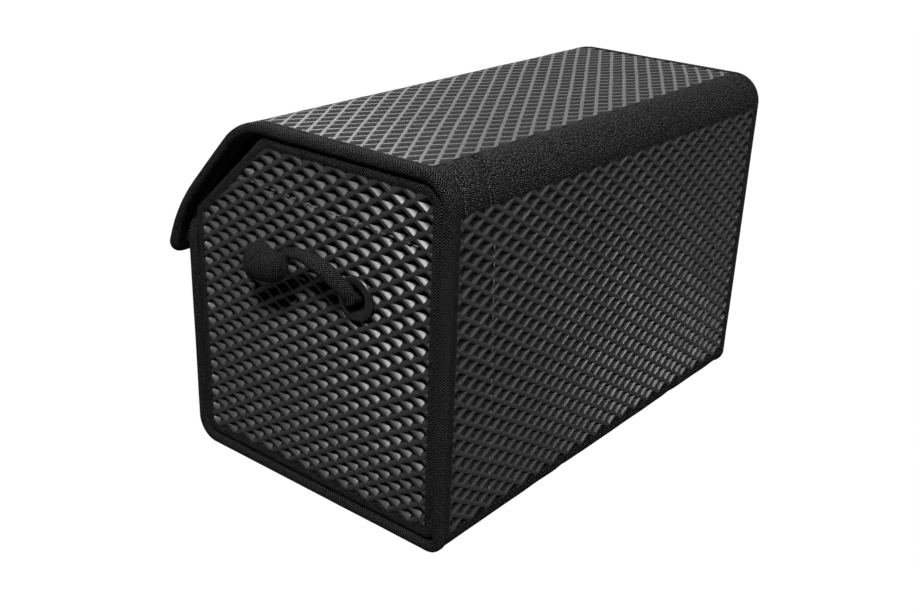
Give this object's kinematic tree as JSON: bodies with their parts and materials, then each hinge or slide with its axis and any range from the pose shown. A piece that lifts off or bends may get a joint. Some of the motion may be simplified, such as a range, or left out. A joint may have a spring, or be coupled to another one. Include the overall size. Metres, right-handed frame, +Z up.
{
  "type": "car trunk organizer",
  "caption": "Soft foam storage box for a car boot, with taped edges, a lid on a cloth hinge that folds down over the front, and a webbing carry handle on each end.",
  "frame": {"origin": "bottom centre of the bounding box with the lid closed, on the floor that the box stands on", "axes": "+Z up, +X along the box towards the right-hand end, +Y towards the side with the lid's hinge"},
  "size_m": [0.5222, 0.3182, 0.31],
  "materials": {
    "foam": "dense closed-cell foam sheet, embossed with small diamond cells, black, satin",
    "binding_tape": "woven herringbone edge tape, black, matte",
    "oxford_cloth": "coarse plain-woven cloth, black, matte",
    "webbing": "woven strap, black, matte",
    "eyelet_plastic": "moulded plastic, black, smooth",
    "closure_tape": "hook and loop tape, black, matte"
  },
  "bodies": {
    "body": {"base_panel": "foam", "rear_panel": "foam", "bottom_band": "oxford_cloth", "hinge_band": "oxford_cloth", "body_binding": "binding_tape", "right_hinge_binding": "binding_tape", "right_end_panel": "foam", "right_end_binding": "binding_tape", "right_front_eyelet": "eyelet_plastic", "right_front_washer": "eyelet_plastic", "right_rear_eyelet": "eyelet_plastic", "right_rear_washer": "eyelet_plastic", "right_handle": "webbing", "left_hinge_binding": "binding_tape", "left_end_panel": "foam", "left_end_binding": "binding_tape", "left_front_eyelet": "eyelet_plastic", "left_front_washer": "eyelet_plastic", "left_rear_eyelet": "eyelet_plastic", "left_rear_washer": "eyelet_plastic", "left_handle": "webbing", "front_loop_strip": "closure_tape"},
    "lid": {"lid_panel": "foam", "lid_binding": "binding_tape", "lid_hook_strip": "closure_tape"}
  },
  "joints": [
    {"name": "lid_hinge", "type": "hinge", "parent": "body", "child": "lid", "pos_m": [0, 0.1509, 0.3018], "axis": [-1, 0, 0], "range_deg": [0, 220], "deforming": ["hinge_band", "right_hinge_binding", "left_hinge_binding"]}
  ]
}
